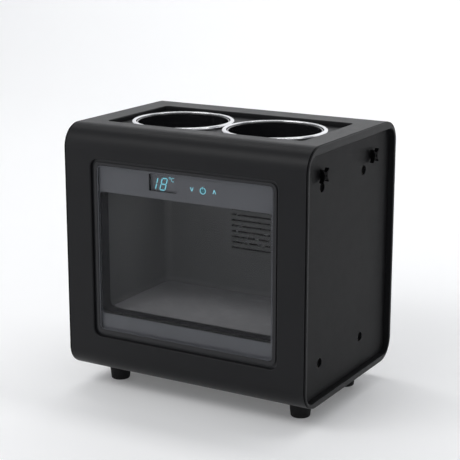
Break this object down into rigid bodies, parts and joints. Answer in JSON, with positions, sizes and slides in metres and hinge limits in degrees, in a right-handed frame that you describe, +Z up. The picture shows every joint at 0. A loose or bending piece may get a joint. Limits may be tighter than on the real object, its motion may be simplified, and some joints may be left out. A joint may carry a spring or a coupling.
{
  "type": "wine cooler",
  "caption": "Countertop thermoelectric wine cooler: black wrap-around shell, glass window with a touch display, and chrome-ringed wells on top for upright bottles.",
  "frame": {"origin": "on the ground, at the centre of the object's bounding box seen from above", "axes": "+X to the object's right seen from its front, +Y towards its back, +Z up; the window faces -Y"},
  "size_m": [0.301, 0.216, 0.304],
  "materials": {
    "shell": "satin",
    "panel": "matte",
    "deck": "matte",
    "chrome": "polished",
    "gloss_black": "gloss",
    "trim": "satin",
    "glass": "polished",
    "display": "gloss",
    "seal": "matte",
    "liner": "satin",
    "foam": "matte",
    "board": "satin",
    "aluminium": "satin",
    "fan": "satin",
    "peltier": "matte",
    "lamp": "satin",
    "steel": "satin",
    "cable": "matte",
    "rubber": "matte",
    "screw": "satin",
    "knob": "satin"
  },
  "bodies": {
    "case": {"wrap_shell": "shell", "side_panel_left": "panel", "side_panel_right": "panel", "rear_cover": "panel", "top_deck": "deck", "ring_left": "chrome", "ring_right": "chrome", "collar_left": "gloss_black", "collar_right": "gloss_black", "window_trim": "trim", "window_reveal": "trim", "front_glass": "glass", "rear_glass": "glass", "display_module": "display", "window_gasket": "seal", "floor_mat": "seal", "cabin_liner": "liner", "cold_fan_grille": "liner", "insulation_body": "foam", "control_board": "board", "power_board": "board", "cold_sink": "aluminium", "cold_block": "aluminium", "hot_sink": "aluminium", "cold_fan_frame": "fan", "hot_fan_frame": "fan", "mains_inlet": "fan", "peltier_module": "peltier", "cabin_light": "lamp", "temperature_sensor": "steel", "wiring_harness": "cable", "foot_front_left": "rubber", "foot_front_right": "rubber", "foot_back_left": "rubber", "foot_back_right": "rubber", "foot_screw_front_left": "steel", "foot_screw_front_right": "steel", "foot_screw_back_left": "steel", "foot_screw_back_right": "steel", "side_screw_left_1": "screw", "side_screw_left_2": "screw", "side_screw_left_3": "screw", "side_screw_left_4": "screw", "side_screw_right_1": "screw", "side_screw_right_2": "screw", "side_screw_right_3": "screw", "side_screw_right_4": "screw", "rear_cover_screw_1": "screw", "rear_cover_screw_2": "screw", "rear_cover_screw_3": "screw", "rear_cover_screw_4": "screw"},
    "thumb_screw_left_front": {"thumb_screw_left_front": "knob"},
    "thumb_screw_left_back": {"thumb_screw_left_back": "knob"},
    "thumb_screw_right_front": {"thumb_screw_right_front": "knob"},
    "thumb_screw_right_back": {"thumb_screw_right_back": "knob"},
    "cold_fan_rotor": {"cold_fan_rotor": "fan"},
    "hot_fan_rotor": {"hot_fan_rotor": "fan"}
  },
  "joints": [
    {"name": "thumb_screw_left_front_turn", "type": "hinge", "parent": "case", "child": "thumb_screw_left_front", "pos_m": [-0.147, -0.0667, 0.2707], "axis": [-1, 0, 0], "continuous": true},
    {"name": "thumb_screw_left_back_turn", "type": "hinge", "parent": "case", "child": "thumb_screw_left_back", "pos_m": [-0.147, 0.0559, 0.2707], "axis": [-1, 0, 0], "continuous": true},
    {"name": "thumb_screw_right_front_turn", "type": "hinge", "parent": "case", "child": "thumb_screw_right_front", "pos_m": [0.147, -0.0667, 0.2707], "axis": [1, 0, 0], "continuous": true},
    {"name": "thumb_screw_right_back_turn", "type": "hinge", "parent": "case", "child": "thumb_screw_right_back", "pos_m": [0.147, 0.0559, 0.2707], "axis": [1, 0, 0], "continuous": true},
    {"name": "cold_fan_spin", "type": "hinge", "parent": "case", "child": "cold_fan_rotor", "pos_m": [0, 0.0505, 0.173], "axis": [0, 1, 0], "continuous": true},
    {"name": "hot_fan_spin", "type": "hinge", "parent": "case", "child": "hot_fan_rotor", "pos_m": [0, 0.0965, 0.173], "axis": [0, 1, 0], "continuous": true}
  ]
}
